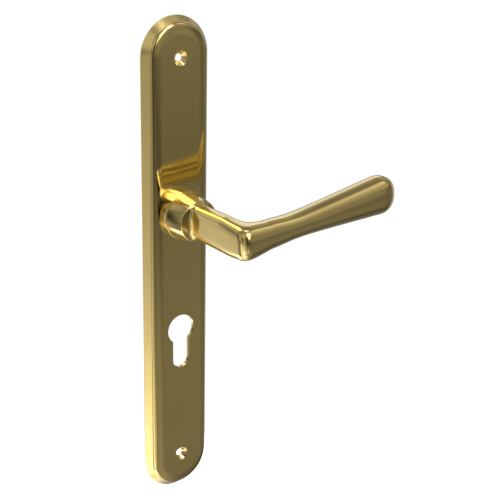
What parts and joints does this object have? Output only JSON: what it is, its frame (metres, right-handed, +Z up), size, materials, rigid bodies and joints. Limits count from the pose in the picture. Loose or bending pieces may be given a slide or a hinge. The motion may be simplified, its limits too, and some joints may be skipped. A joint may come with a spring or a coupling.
{
  "type": "lever door handle on backplate",
  "caption": "Lever handle, sprung, turning in a collar on a long round-ended backplate with a euro-profile cylinder cut-out and countersunk screw holes.",
  "frame": {"origin": "on the lever's turning axis in the door plane, which is the backplate's rear face", "axes": "+X towards the free end of the grip at rest, +Y into the door along the spindle, -Y out towards the user, +Z up along the backplate"},
  "size_m": [0.1313, 0.0731, 0.29],
  "materials": {
    "plate_brass": "polished and lacquered, finely brushed on the sloped skirt",
    "collar_brass": "turned, polished and lacquered",
    "lever_brass": "polished and lacquered",
    "rivet_brass": "plain, headed over",
    "bush_nylon": "natural moulded nylon",
    "zinc_steel": "pressed steel, zinc plated",
    "bright_steel": "bright drawn steel",
    "spring_steel": "oiled spring steel",
    "dark_steel": "blackened steel"
  },
  "bodies": {
    "plate": {"backplate": "plate_brass", "boss_collar": "collar_brass", "front_bush": "bush_nylon", "rear_bush": "bush_nylon", "bearing_plate": "zinc_steel", "stop_pins": "bright_steel", "bearing_rivets": "rivet_brass", "return_spring": "spring_steel"},
    "lever": {"lever_handle": "lever_brass", "grub_screw": "dark_steel", "stop_cam": "zinc_steel", "spring_washer": "spring_steel", "retaining_ring": "dark_steel"}
  },
  "joints": [
    {"name": "lever_turn", "type": "hinge", "parent": "plate", "child": "lever", "pos_m": [0, 0, 0], "axis": [0, 1, 0], "range_deg": [0, 40], "stiffness_Nm_per_rad": 0.9, "springref_deg": -28.65, "deforming": ["return_spring"]}
  ]
}
